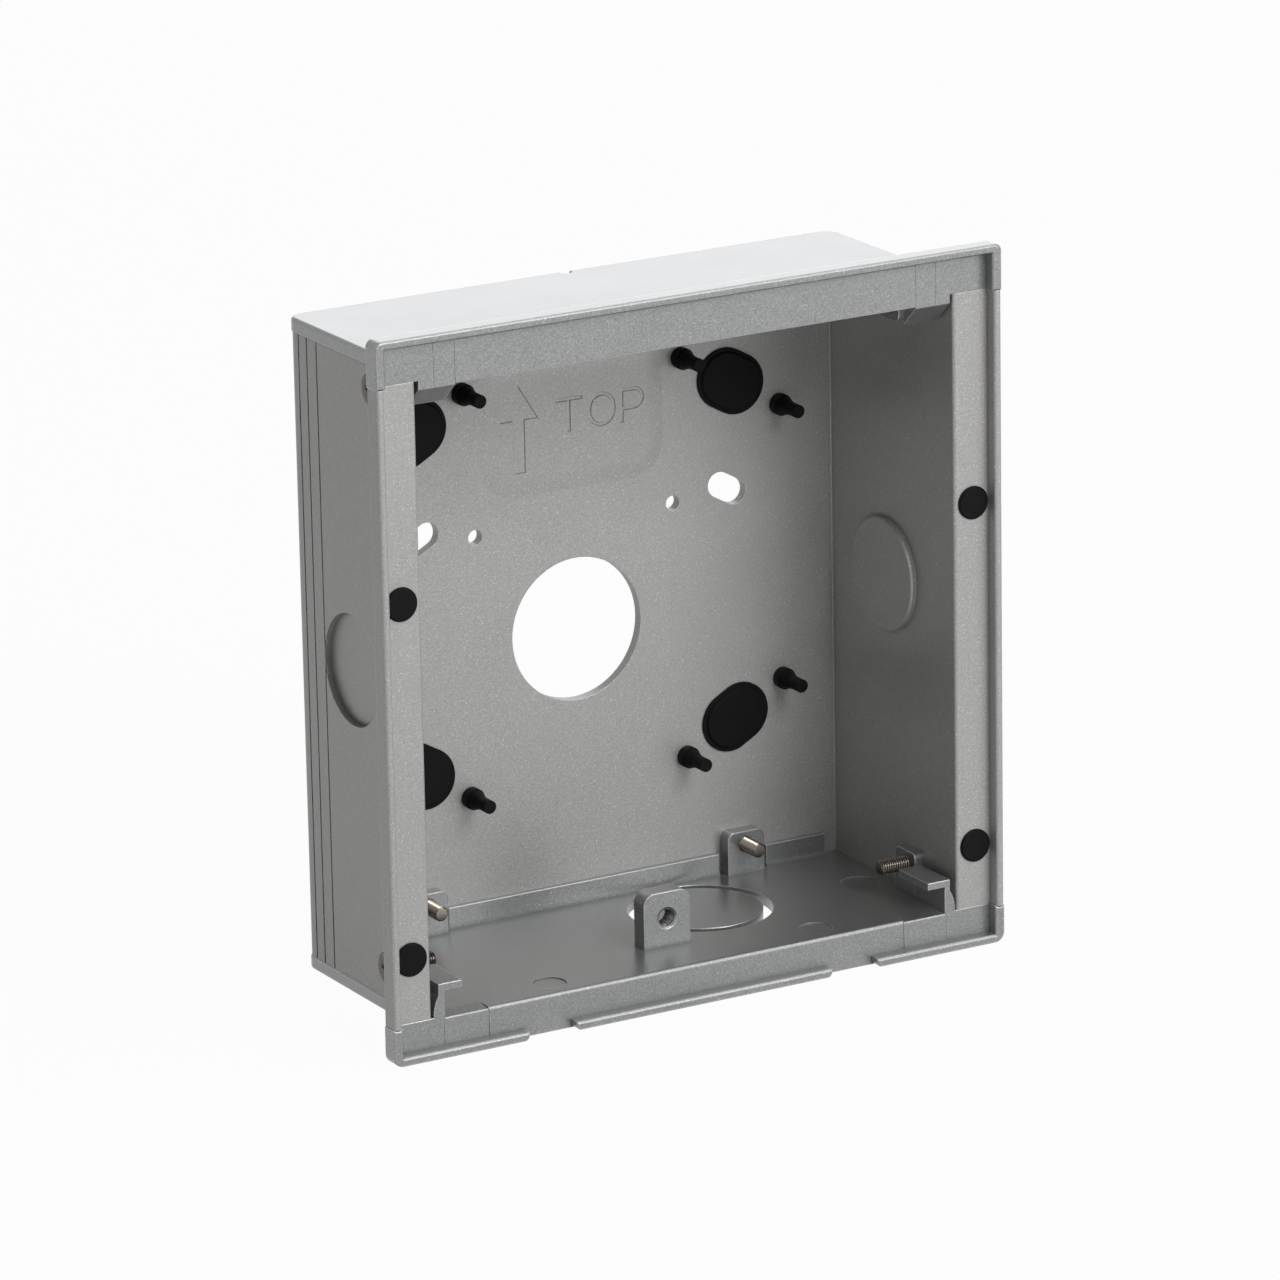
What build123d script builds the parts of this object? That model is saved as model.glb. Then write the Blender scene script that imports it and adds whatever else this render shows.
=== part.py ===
from build123d import *
import os

# A flush back box for a wall unit. One aluminium extrusion makes the back, the two sides
# and the side strips of the front frame. A die-cast cap closes it above and another below,
# and eight countersunk screws hold the caps. Rubber plugs and pins sit in the back wall,
# and four small rubber plugs sit in the side strips.
# X runs to the right, Y into the wall and Z up. The origin is the middle of the front
# frame, and Y = 0 is the front of its rim. Lengths are in millimetres, angles in degrees.

# Overall size
box_width = 158.0
box_height = 163.4
box_depth = 58.0

# Front frame: a rim standing in front of a recessed strip
rim_depth = 3.0
strip_thickness = 1.2
cap_side_rim = 2.4
cap_end_rim = 2.0
cap_rim_chamfer = 0.4
extrusion_rim = 1.9
extrusion_rim_round = 0.7
extrusion_setback = 0.2
side_frame_width = 11.1
opening_edge_round = 0.8

# Extrusion
side_wall = 2.0
back_wall = 2.5
outer_corner = 3.5
inner_corner = 0.4
groove_depths = (44.5, 49.0, 52.8)
groove_width = 0.5
groove_cut = 0.35

# Side knock-outs, half pushed through
side_knockout_radius = 12.8
side_knockout_y = 32.0
side_knockout_z = -0.3
knockout_push = 1.6
knockout_shear = 0.4
knockout_edge_chamfer = 0.35

# Plain openings in the back wall
cable_hole_radius = 16.7
cable_hole_z = -8.2
small_hole_radius = 1.75
small_hole_x = 25.6
small_hole_z = 17.3
slot_length = 10.5
slot_width = 6.0
slot_x = 39.9
slot_z = 18.6
slot_tilt = 29.0

# Oval plugs, with a pin at each end
upper_plug_z = 43.7
lower_plug_z = -36.0
plug_x = 41.1
plug_length = 17.7
plug_width = 14.3
plug_head = 1.1
plug_head_chamfer = 0.35
plug_step = 0.9
plug_step_height = 0.5
plug_tilt = 29.5
pin_spacing = 29.6
pin_hole_radius = 1.5
pin_collar_radius = 2.5
pin_collar = 1.9
pin_barb_radius = 2.25
pin_barb_end = 5.2
pin_tail_radius = 1.55
pin_length = 8.8
rubber_fit = 0.05

# Edge plugs in the side strips
edge_plug_inset = 6.2
upper_edge_plug_z = 22.3
lower_edge_plug_z = -58.4
edge_plug_radius = 3.85
edge_plug_head = 0.7
edge_plug_chamfer = 0.35
edge_plug_stem_radius = 2.4

# Screws
screw_radius = 1.75
screw_length = 12.0
screw_head_radius = 3.6
screw_head_angle = 90.0
screw_tip_chamfer = 0.4
screw_fit = 0.05
screw_sink = 0.15
screw_clearance = 0.15
drive_length = 4.0
drive_width = 0.9
drive_depth = 1.1
side_screw_y = 20.4
back_screw_inset = 26.3
top_fixing_rise = 5.3
bottom_fixing_rise = 7.0
fixing_reach = 3.2

# Caps
top_band = 10.6
bottom_band = 8.7
top_plate = 3.4
bottom_plate = 3.2
cap_overhang = 0.25
cap_plan_corner = 3.75
cap_plate_round = 0.8
cap_seam_chamfer = 0.3
top_frame_corner = 1.7
bottom_frame_corner = 2.4
parting_line_width = 0.25
parting_line_cut = 0.15
faint_line_cut = 0.06

# Fixings that stand inside the box on each cap
upstand_height = 5.1
upstand_thickness = 1.5
upstand_inset = 3.9
tab_width = 9.7
tab_thickness = 3.5
tab_corner = 1.75
tab_inner_gap = 1.2
tab_outer_gap = 1.7
ear_length = 8.4
top_ear_thickness = 6.0
bottom_ear_thickness = 2.9
ear_corner = 1.5

# Top cap: a lip behind the band, a ramp and a rib before each ear, a notch at the back
lip_drop = 1.7
lip_thickness = 2.0
lip_tab_inset = 0.8
lip_tab_width = 8.9
lip_tab_drop = 2.0
ramp_run = 5.1
ramp_drop = 6.6
ramp_wall = 2.4
rib_thickness = 1.4
top_line_inset = 4.5
notch_width = 3.0
notch_depth = 2.5

# Bottom cap: side rails, centre tab, floor knock-out, ejector marks, gaps in the rim
rail_web = 1.35
rail_inset = 1.8
rail_height = 7.6
rail_lip_width = 5.85
rail_lip_thickness = 1.6
rail_lip_length = 12.6
gusset_foot = 1.3
gusset_height = 5.0
gusset_foot_height = 0.4
sill_drop = 0.4
sill_slope = 4.0
sill_step_inset = 14.2
sill_round = 0.8
bottom_line_inset = 2.9
rim_gap_start = 33.1
rim_gap_end = 45.0
rim_gap_round = 1.2
centre_tab_width = 12.0
centre_tab_height = 12.9
centre_tab_thickness = 4.4
centre_tab_y = 17.0
centre_tab_corner = 2.8
centre_thread_radius = 2.1
centre_thread_sink = 2.6
centre_thread_rise = 6.7
centre_thread_angle = 90.0
floor_knockout_x = 19.7
floor_knockout_y = 36.0
floor_disc_radius = 14.4
floor_slot_radius = 16.7
floor_pocket_radius = 18.2
floor_at_knockout = 2.4
floor_web_width = 6.0
floor_web_thickness = 0.9
front_mark_x = 34.5
front_mark_y = 9.8
front_mark_radius = 3.8
side_mark_inset = 7.9
side_mark_y = 32.0
side_mark_radius = 4.5
mark_cut = 0.25

# Places that follow from these sizes
half_width = box_width / 2
half_height = box_height / 2
opening_x = half_width - side_frame_width
wall_x = opening_x + side_wall
extrusion_x = half_width - extrusion_setback
strip_back = rim_depth + strip_thickness
inner_back = box_depth - back_wall
top_seat = half_height - top_band
bottom_seat = bottom_band - half_height
ear_front = side_screw_y - ear_length / 2
ramp_end = rim_depth + ramp_run
back_screw_x = opening_x - back_screw_inset
upstand_middle_half = back_screw_x - tab_width / 2 - tab_inner_gap
upstand_start = back_screw_x + tab_width / 2 + tab_outer_gap
upstand_end = opening_x - upstand_inset
lip_tab_end = opening_x - lip_tab_inset
lip_tab_start = lip_tab_end - lip_tab_width
top_line_x = opening_x - top_line_inset
rail_outer_x = opening_x - rail_inset
sill_step_x = opening_x - sill_step_inset
bottom_line_x = opening_x - bottom_line_inset
side_mark_x = opening_x - side_mark_inset
rail_inner_x = rail_outer_x - rail_web
rail_lip_foot = bottom_seat + rail_height - rail_lip_thickness
thread_radius = screw_radius + screw_fit
sides = {"left": -1, "right": 1}
rows = {"top": (top_seat, -1, top_fixing_rise), "bottom": (bottom_seat, 1, bottom_fixing_rise)}

# Seats of the screws, each with its normal pointing out of the box
screw_seats = {}
for row, (seat_z, inward, fixing_rise) in rows.items():
    for column, side in sides.items():
        screw_z = seat_z + inward * fixing_rise
        screw_seats[f"side_screw_{row}_{column}"] = Plane(
            origin=(side * wall_x, side_screw_y, screw_z), z_dir=(side, 0, 0)
        )
        screw_seats[f"back_screw_{row}_{column}"] = Plane(
            origin=(side * back_screw_x, box_depth, screw_z), z_dir=(0, 1, 0)
        )

# Seats of the oval plugs and of their pins, on the inner face of the back wall
plug_seats = {}
pin_seats = {}
inner_wall = Plane.XZ.offset(-inner_back)
for row, plug_z, lean in (("top", upper_plug_z, -1), ("bottom", lower_plug_z, 1)):
    for column, side in sides.items():
        lean_angle = lean * side * plug_tilt
        seat = Plane(inner_wall * Location((side * plug_x, plug_z, 0), (0, 0, lean_angle)))
        plug_seats[f"oval_plug_{row}_{column}"] = seat
        for place, end in (("inner", -side), ("outer", side)):
            pin_seat = Plane(seat * Location((end * pin_spacing / 2, 0, 0)))
            pin_seats[f"pin_{row}_{column}_{place}"] = pin_seat

# Seats of the edge plugs, on the side strips
edge_plug_seats = {}
strip_front = Plane.XZ.offset(-rim_depth)
for row, edge_z in (("upper", upper_edge_plug_z), ("lower", lower_edge_plug_z)):
    for column, side in sides.items():
        seat = Plane(strip_front * Location((side * (half_width - edge_plug_inset), edge_z, 0)))
        edge_plug_seats[f"edge_plug_{row}_{column}"] = seat


def near(value, target):
    """Tell whether two lengths are the same, apart from rounding."""
    return abs(value - target) < 0.001


def corners(profile, across, depth):
    """Return the left and right corners of a profile at this distance from the middle and this depth."""
    return profile.vertices().filter_by(lambda v: near(abs(v.X), across) and near(v.Y, depth))


def write(piece, name):
    """Name a finished piece and write it to its own file."""
    piece.label = name
    export_step(piece, f"parts/{name}.step")


os.makedirs("parts", exist_ok=True)

# Extrusion, with its knock-outs, holes and slots
with BuildPart() as body:
    with BuildSketch(Plane.XY.offset(bottom_seat)) as section:
        with BuildLine():
            Polyline(
                (0, box_depth),
                (wall_x, box_depth),
                (wall_x, strip_back),
                (extrusion_x, strip_back),
                (extrusion_x, 0),
                (extrusion_x - extrusion_rim, 0),
                (extrusion_x - extrusion_rim, rim_depth),
                (opening_x, rim_depth),
                (opening_x, inner_back),
                (0, inner_back),
            )
            mirror(about=Plane.YZ)
        make_face()
        fillet(corners(section, wall_x, box_depth), outer_corner)
        fillet(corners(section, opening_x, inner_back), inner_corner)
        fillet(corners(section, opening_x, rim_depth), opening_edge_round)
        fillet(corners(section, extrusion_x, 0), extrusion_rim_round)
        fillet(corners(section, extrusion_x - extrusion_rim, 0), extrusion_rim_round)
        for groove_y in groove_depths:
            with Locations((-wall_x, groove_y), (wall_x, groove_y)):
                Rectangle(2 * groove_cut, groove_width, mode=Mode.SUBTRACT)
    extrude(amount=top_seat - bottom_seat)

    for side in sides.values():
        with BuildSketch(Plane.YZ.offset(side * opening_x)):
            with Locations((side_knockout_y, side_knockout_z)):
                Circle(side_knockout_radius + knockout_shear)
        extrude(amount=-side * knockout_push)
        raised = body.faces().filter_by(Axis.X).filter_by(
            lambda f: near(f.center().X, side * (opening_x - knockout_push))
        )
        chamfer(raised.edges(), knockout_edge_chamfer)
        with BuildSketch(Plane.YZ.offset(side * wall_x)):
            with Locations((side_knockout_y, side_knockout_z)):
                Circle(side_knockout_radius)
        extrude(amount=-side * knockout_push, mode=Mode.SUBTRACT)

    with BuildSketch(Plane.XZ.offset(-inner_back)):
        with Locations((0, cable_hole_z)):
            Circle(cable_hole_radius)
        for side in sides.values():
            with Locations((side * small_hole_x, small_hole_z)):
                Circle(small_hole_radius)
            with Locations((side * slot_x, slot_z)):
                SlotOverall(slot_length, slot_width, rotation=-side * slot_tilt)
    extrude(amount=-back_wall, mode=Mode.SUBTRACT)

    for seat in plug_seats.values():
        with BuildSketch(seat):
            SlotOverall(slot_length, slot_width)
        extrude(amount=-back_wall, mode=Mode.SUBTRACT)

    for seat in pin_seats.values():
        with BuildSketch(seat):
            Circle(pin_hole_radius)
        extrude(amount=-back_wall, mode=Mode.SUBTRACT)

    for seat in edge_plug_seats.values():
        with BuildSketch(seat):
            Circle(edge_plug_stem_radius + rubber_fit)
        extrude(amount=-strip_thickness, mode=Mode.SUBTRACT)

    for seat in screw_seats.values():
        with Locations(seat):
            CounterSinkHole(
                radius=screw_radius + screw_clearance,
                counter_sink_radius=screw_head_radius + screw_fit + screw_sink,
                depth=max(side_wall, back_wall),
                counter_sink_angle=screw_head_angle,
            )
write(body.part, "body")


def draw_fixings(fixing_rise, ear_thickness):
    """Draw what a cap carries inside the box, on a seat at z = 0 and standing up."""
    with BuildPart() as fixings:
        with BuildSketch():
            with Locations((0, inner_back)):
                Rectangle(2 * upstand_middle_half, upstand_thickness, align=(Align.CENTER, Align.MAX))
            for side in sides.values():
                with Locations((side * (upstand_start + upstand_end) / 2, inner_back)):
                    Rectangle(
                        upstand_end - upstand_start,
                        upstand_thickness,
                        align=(Align.CENTER, Align.MAX),
                    )
        extrude(amount=upstand_height)

        with BuildSketch(Plane.XZ.offset(-inner_back)) as tabs:
            with Locations((-back_screw_x, 0), (back_screw_x, 0)):
                Rectangle(tab_width, fixing_rise + fixing_reach, align=(Align.CENTER, Align.MIN))
            fillet(tabs.vertices().group_by(Axis.Y)[-1], tab_corner)
            with Locations((-back_screw_x, fixing_rise), (back_screw_x, fixing_rise)):
                Circle(thread_radius, mode=Mode.SUBTRACT)
        extrude(amount=tab_thickness)

        for side in sides.values():
            with BuildSketch(Plane.YZ.offset(side * (opening_x - ear_thickness))) as ear:
                with Locations((side_screw_y, 0)):
                    Rectangle(ear_length, fixing_rise + fixing_reach, align=(Align.CENTER, Align.MIN))
                fillet(ear.vertices().group_by(Axis.Y)[-1], ear_corner)
                with Locations((side_screw_y, fixing_rise)):
                    Circle(thread_radius, mode=Mode.SUBTRACT)
            extrude(amount=side * ear_thickness)
    return fixings.part


top_fixings = draw_fixings(top_fixing_rise, top_ear_thickness).mirror(Plane.XY)
bottom_fixings = draw_fixings(bottom_fixing_rise, bottom_ear_thickness)

# Top cap
with BuildPart() as top_cap:
    with BuildSketch(Plane.XY.offset(top_seat)) as plan:
        with Locations((0, rim_depth)):
            Rectangle(
                2 * (wall_x + cap_overhang),
                box_depth + cap_overhang - rim_depth,
                align=(Align.CENTER, Align.MIN),
            )
        fillet(plan.vertices().group_by(Axis.Y)[-1], cap_plan_corner)
    extrude(amount=top_plate)
    upper_edges = top_cap.edges().group_by(Axis.Z)[-1]
    fillet(upper_edges.filter_by(lambda e: e.center().Y > strip_back), cap_plate_round)
    seam_edges = top_cap.edges().group_by(Axis.Z)[0]
    chamfer(seam_edges.filter_by(lambda e: e.center().Y > strip_back), cap_seam_chamfer)
    with BuildSketch(Plane.XY.offset(top_seat)):
        with Locations((0, box_depth + cap_overhang - notch_depth + notch_width / 2)):
            Circle(notch_width / 2)
            Rectangle(notch_width, notch_depth, align=(Align.CENTER, Align.MIN))
    extrude(amount=top_plate, mode=Mode.SUBTRACT)

    with BuildSketch(Plane.XZ) as frame:
        with Locations((0, half_height)):
            Rectangle(box_width, top_band, align=(Align.CENTER, Align.MAX))
        fillet(frame.vertices().group_by(Axis.Y)[-1], top_frame_corner)
    extrude(amount=-strip_back)
    with BuildSketch(Plane.XZ):
        with Locations((0, half_height - cap_end_rim)):
            Rectangle(box_width - 2 * cap_side_rim, top_band, align=(Align.CENTER, Align.MAX))
    extrude(amount=-rim_depth, mode=Mode.SUBTRACT)
    front_faces = top_cap.faces().filter_by(Axis.Y).group_by(Axis.Y)[0]
    chamfer(front_faces.edges(), cap_rim_chamfer)

    with BuildSketch(Plane.XZ.offset(-rim_depth)):
        with Locations((0, top_seat)):
            Rectangle(2 * lip_tab_start, lip_drop, align=(Align.CENTER, Align.MAX))
        for side in sides.values():
            with Locations((side * (lip_tab_start + lip_tab_end) / 2, top_seat)):
                Rectangle(lip_tab_end - lip_tab_start, lip_tab_drop, align=(Align.CENTER, Align.MAX))
    extrude(amount=-lip_thickness)

    for side in sides.values():
        with BuildSketch(Plane.YZ.offset(side * lip_tab_start)):
            with BuildLine():
                Polyline(
                    (rim_depth, top_seat),
                    (rim_depth, top_seat - lip_tab_drop),
                    (ramp_end, top_seat - ramp_drop),
                    (ramp_end, top_seat - ramp_drop + ramp_wall),
                    (rim_depth + lip_thickness, top_seat),
                    close=True,
                )
            make_face()
        extrude(amount=side * (lip_tab_end - lip_tab_start))
        with BuildSketch(Plane.YZ.offset(side * (lip_tab_end - rib_thickness))):
            with BuildLine():
                Polyline(
                    (rim_depth, top_seat),
                    (ramp_end, top_seat - ramp_drop),
                    (ear_front, top_seat - top_fixing_rise - fixing_reach + ear_corner),
                    (ear_front, top_seat),
                    close=True,
                )
            make_face()
        extrude(amount=side * rib_thickness)
    add(top_fixings.moved(Location((0, 0, top_seat))))

    with BuildSketch(Plane.XZ.offset(-rim_depth)):
        for line_x in (lip_tab_start, top_line_x):
            with Locations((-line_x, top_seat - lip_tab_drop), (line_x, top_seat - lip_tab_drop)):
                Rectangle(
                    parting_line_width,
                    top_band - cap_end_rim + lip_tab_drop,
                    align=(Align.CENTER, Align.MIN),
                )
    extrude(amount=-faint_line_cut, mode=Mode.SUBTRACT)
write(top_cap.part, "top_cap")

# Bottom cap
with BuildPart() as bottom_cap:
    floor_underside = bottom_seat - bottom_plate
    with BuildSketch(Plane.XY.offset(floor_underside)) as plan:
        with Locations((0, rim_depth)):
            Rectangle(
                2 * (wall_x + cap_overhang),
                box_depth + cap_overhang - rim_depth,
                align=(Align.CENTER, Align.MIN),
            )
        fillet(plan.vertices().group_by(Axis.Y)[-1], cap_plan_corner)
    extrude(amount=bottom_plate)
    lower_edges = bottom_cap.edges().group_by(Axis.Z)[0]
    fillet(lower_edges.filter_by(lambda e: e.center().Y > strip_back), cap_plate_round)
    seam_edges = bottom_cap.edges().group_by(Axis.Z)[-1]
    chamfer(seam_edges.filter_by(lambda e: e.center().Y > strip_back), cap_seam_chamfer)

    with BuildSketch(Plane.XZ) as frame:
        with Locations((0, -half_height)):
            Rectangle(box_width, bottom_band, align=(Align.CENTER, Align.MIN))
        fillet(frame.vertices().group_by(Axis.Y)[0], bottom_frame_corner)
    extrude(amount=-strip_back)
    with BuildSketch(Plane.XZ):
        with Locations((0, cap_end_rim - half_height)):
            Rectangle(box_width - 2 * cap_side_rim, bottom_band, align=(Align.CENTER, Align.MIN))
        for side in sides.values():
            with Locations((side * (rim_gap_start + rim_gap_end) / 2, -half_height)):
                Rectangle(rim_gap_end - rim_gap_start, 2 * cap_end_rim)
    extrude(amount=-rim_depth, mode=Mode.SUBTRACT)
    rim_ends = bottom_cap.edges().filter_by(Axis.Y).filter_by(
        lambda e: near(e.center().Z, -half_height) and near(e.length, rim_depth)
    )
    fillet(rim_ends, rim_gap_round)
    front_faces = bottom_cap.faces().filter_by(Axis.Y).group_by(Axis.Y)[0]
    chamfer(front_faces.edges(), cap_rim_chamfer)

    with BuildSketch(Plane.YZ.offset(-rail_inner_x)):
        with Locations((rim_depth, bottom_seat)):
            Rectangle(sill_round, sill_round, align=(Align.MIN, Align.MAX))
        with Locations((rim_depth + sill_round, bottom_seat - sill_round)):
            Circle(sill_round, mode=Mode.SUBTRACT)
    extrude(amount=2 * rail_inner_x, mode=Mode.SUBTRACT)
    for side in sides.values():
        with BuildSketch(Plane.YZ.offset(side * sill_step_x)):
            with BuildLine():
                Polyline(
                    (rim_depth, bottom_seat),
                    (rim_depth, bottom_seat - sill_drop),
                    (rim_depth + sill_slope, bottom_seat),
                    close=True,
                )
            make_face()
        extrude(amount=side * (rail_inner_x - sill_step_x), mode=Mode.SUBTRACT)

    for side in sides.values():
        with BuildSketch(Plane.XZ.offset(-rim_depth)):
            with BuildLine():
                edge = Polyline(
                    (side * (rail_outer_x + gusset_foot), bottom_seat + gusset_foot_height),
                    (side * (rail_outer_x + gusset_foot), bottom_seat - sill_round),
                    (side * rail_inner_x, bottom_seat - sill_round),
                    (side * rail_inner_x, rail_lip_foot),
                    (side * (rail_outer_x - rail_lip_width), rail_lip_foot),
                    (side * (rail_outer_x - rail_lip_width), bottom_seat + rail_height),
                    (side * rail_outer_x, bottom_seat + rail_height),
                    (side * rail_outer_x, bottom_seat + gusset_height),
                )
                TangentArc(edge @ 0, edge @ 1, tangent=(0, 1))
            make_face()
        extrude(amount=-rail_lip_length)
        with BuildSketch(Plane.XZ.offset(-rim_depth - rail_lip_length)):
            with Locations((side * (rail_inner_x + rail_web / 2), bottom_seat)):
                Rectangle(rail_web, rail_height, align=(Align.CENTER, Align.MIN))
        extrude(amount=rim_depth + rail_lip_length - ear_front)
    add(bottom_fixings.moved(Location((0, 0, bottom_seat))))

    with BuildSketch(Plane.XZ.offset(-centre_tab_y)) as centre_tab:
        with Locations((0, bottom_seat)):
            Rectangle(centre_tab_width, centre_tab_height, align=(Align.CENTER, Align.MIN))
        fillet(centre_tab.vertices().group_by(Axis.Y)[-1], centre_tab_corner)
    extrude(amount=-centre_tab_thickness)
    with Locations(Plane(origin=(0, centre_tab_y, bottom_seat + centre_thread_rise), z_dir=(0, -1, 0))):
        CounterSinkHole(
            radius=centre_thread_radius,
            counter_sink_radius=centre_thread_sink,
            depth=centre_tab_thickness,
            counter_sink_angle=centre_thread_angle,
        )

    with BuildSketch(Plane((floor_knockout_x, floor_knockout_y, floor_underside))):
        Circle(floor_pocket_radius)
    extrude(amount=bottom_plate - floor_at_knockout, mode=Mode.SUBTRACT)
    slot_floor = bottom_seat - floor_at_knockout
    with BuildSketch(Plane((floor_knockout_x, floor_knockout_y, slot_floor))):
        Circle(floor_slot_radius)
        Circle(floor_disc_radius, mode=Mode.SUBTRACT)
        Rectangle(floor_web_width, 2 * floor_pocket_radius, mode=Mode.SUBTRACT)
    extrude(amount=floor_at_knockout, mode=Mode.SUBTRACT)
    with BuildSketch(Plane((floor_knockout_x, floor_knockout_y, slot_floor + floor_web_thickness))):
        Circle(floor_slot_radius)
        Circle(floor_disc_radius, mode=Mode.SUBTRACT)
    extrude(amount=floor_at_knockout - floor_web_thickness, mode=Mode.SUBTRACT)

    with BuildSketch(Plane.XY.offset(bottom_seat)):
        for side in sides.values():
            with Locations((side * front_mark_x, front_mark_y)):
                Circle(front_mark_radius)
            with Locations((side * side_mark_x, side_mark_y)):
                Circle(side_mark_radius)
    extrude(amount=-mark_cut, mode=Mode.SUBTRACT)

    with BuildSketch(Plane.XZ.offset(-rim_depth)):
        with Locations((-sill_step_x, bottom_seat), (sill_step_x, bottom_seat)):
            Rectangle(parting_line_width, bottom_band - cap_end_rim, align=(Align.CENTER, Align.MAX))
    extrude(amount=-parting_line_cut, mode=Mode.SUBTRACT)
    with BuildSketch(Plane.XZ.offset(-rim_depth)):
        with Locations((-bottom_line_x, bottom_seat), (bottom_line_x, bottom_seat)):
            Rectangle(parting_line_width, bottom_band - cap_end_rim, align=(Align.CENTER, Align.MAX))
    extrude(amount=-faint_line_cut, mode=Mode.SUBTRACT)
write(bottom_cap.part, "bottom_cap")

# Oval plugs: a flat head with a stepped, rounded edge on a stem that fills the slot
for name, seat in plug_seats.items():
    with BuildPart() as oval_plug:
        with BuildSketch():
            SlotOverall(plug_length, plug_width)
        extrude(amount=plug_step_height)
        with BuildSketch(Plane.XY.offset(plug_step_height)):
            SlotOverall(plug_length - 2 * plug_step, plug_width - 2 * plug_step)
        extrude(amount=plug_head - plug_step_height)
        chamfer(oval_plug.edges().group_by(Axis.Z)[-1], plug_head_chamfer)
        with BuildSketch():
            SlotOverall(slot_length - 2 * rubber_fit, slot_width - 2 * rubber_fit)
        extrude(amount=-back_wall)
    write(oval_plug.part.moved(seat.location), name)

# Pins: a neck in the wall, a collar on its inner face, and a barb that tapers to a thin tail
for name, seat in pin_seats.items():
    with BuildPart() as pin:
        with BuildSketch(Plane.XZ):
            with BuildLine():
                Polyline(
                    (0, -back_wall),
                    (pin_hole_radius - rubber_fit, -back_wall),
                    (pin_hole_radius - rubber_fit, 0),
                    (pin_collar_radius, 0),
                    (pin_collar_radius, pin_collar),
                    (pin_barb_radius, pin_collar),
                    (pin_tail_radius, pin_barb_end),
                    (pin_tail_radius, pin_length),
                    (0, pin_length),
                    close=True,
                )
            make_face()
        revolve(axis=Axis.Z)
    write(pin.part.moved(seat.location), name)

# Edge plugs: a low round head on the strip and a stem through it
for name, seat in edge_plug_seats.items():
    with BuildPart() as edge_plug:
        with BuildSketch():
            Circle(edge_plug_radius)
        extrude(amount=edge_plug_head)
        chamfer(edge_plug.edges().group_by(Axis.Z)[-1], edge_plug_chamfer)
        with BuildSketch():
            Circle(edge_plug_stem_radius)
        extrude(amount=-strip_thickness)
    write(edge_plug.part.moved(seat.location), name)

# Screws: a countersunk head with a cross recess, just under the wall's face, and a plain shank
for name, seat in screw_seats.items():
    with BuildPart() as screw:
        with BuildSketch(Plane.XZ):
            with BuildLine():
                Polyline(
                    (0, -screw_sink),
                    (screw_head_radius, -screw_sink),
                    (screw_radius, screw_radius - screw_head_radius - screw_sink),
                    (screw_radius, screw_tip_chamfer - screw_length),
                    (screw_radius - screw_tip_chamfer, -screw_length),
                    (0, -screw_length),
                    close=True,
                )
            make_face()
        revolve(axis=Axis.Z)
        with BuildSketch():
            Rectangle(drive_length, drive_width)
            Rectangle(drive_width, drive_length)
        extrude(amount=-screw_sink - drive_depth, mode=Mode.SUBTRACT)
    write(screw.part.moved(seat.location), name)
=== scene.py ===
import math

import bmesh
import bpy
from bpy.props import FloatProperty, FloatVectorProperty, IntProperty, PointerProperty
from mathutils import Matrix, Vector


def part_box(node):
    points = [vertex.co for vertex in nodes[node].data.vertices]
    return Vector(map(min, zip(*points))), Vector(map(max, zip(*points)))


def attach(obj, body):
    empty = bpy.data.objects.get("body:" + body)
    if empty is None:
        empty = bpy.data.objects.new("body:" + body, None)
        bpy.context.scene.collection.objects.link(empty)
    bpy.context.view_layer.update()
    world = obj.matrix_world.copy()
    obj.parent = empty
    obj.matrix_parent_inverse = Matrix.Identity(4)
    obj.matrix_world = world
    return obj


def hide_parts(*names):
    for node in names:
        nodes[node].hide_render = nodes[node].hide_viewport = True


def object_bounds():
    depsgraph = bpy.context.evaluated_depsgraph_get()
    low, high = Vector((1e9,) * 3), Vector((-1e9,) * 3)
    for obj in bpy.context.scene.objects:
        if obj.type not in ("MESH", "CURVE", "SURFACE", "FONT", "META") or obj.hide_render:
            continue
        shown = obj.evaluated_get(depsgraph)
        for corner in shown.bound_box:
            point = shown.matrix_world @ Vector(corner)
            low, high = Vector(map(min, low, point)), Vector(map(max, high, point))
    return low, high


bl_info = {
    "name": "Flush back box dressing",
    "version": (1, 0, 0),
    "blender": (4, 5, 0),
    "location": "View3D > Sidebar > Back box",
    "description": "Metallic paint, rubber, threaded screws and sunk marks for the flush back box",
    "category": "Object",
}

# The box as it was packed: X to the right, Y into the wall, Z up, in metres
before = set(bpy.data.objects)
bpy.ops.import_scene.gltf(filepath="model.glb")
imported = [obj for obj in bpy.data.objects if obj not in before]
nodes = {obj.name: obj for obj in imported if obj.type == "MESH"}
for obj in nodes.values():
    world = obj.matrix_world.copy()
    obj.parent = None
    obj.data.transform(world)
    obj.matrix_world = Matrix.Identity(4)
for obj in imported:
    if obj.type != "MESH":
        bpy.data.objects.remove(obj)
cad_low, cad_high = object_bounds()

METAL_SLOTS = {"body": "extrusion", "top_cap": "casting", "bottom_cap": "casting"}
RUBBER_PREFIXES = ("oval_plug", "pin", "edge_plug")
SCREW_PREFIXES = ("side_screw", "back_screw")

# Vertex attribute that says how much a spot of bare metal is darkened, from 0 to 1: painted shade in
# thread roots and cross recesses, and a darker screw head
DARKENING_MASK = "oil_shade"

# How the paint lies on the extruded body and on the cast caps; the edge highlight is a painted
# highlight that lightens the colour along outer edges
EXTRUSION_COAT = {
    "grain": 1.0, "roughness": 0.40, "orange_peel": 0.08,
    "metal": 0.38, "coat": 0.08, "painted_edge_highlight": 0.8,
}
CASTING_COAT = {
    "grain": 1.2, "roughness": 0.33, "orange_peel": 0.12,
    "metal": 0.68, "coat": 0.6, "painted_edge_highlight": 1.6,
}

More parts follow.
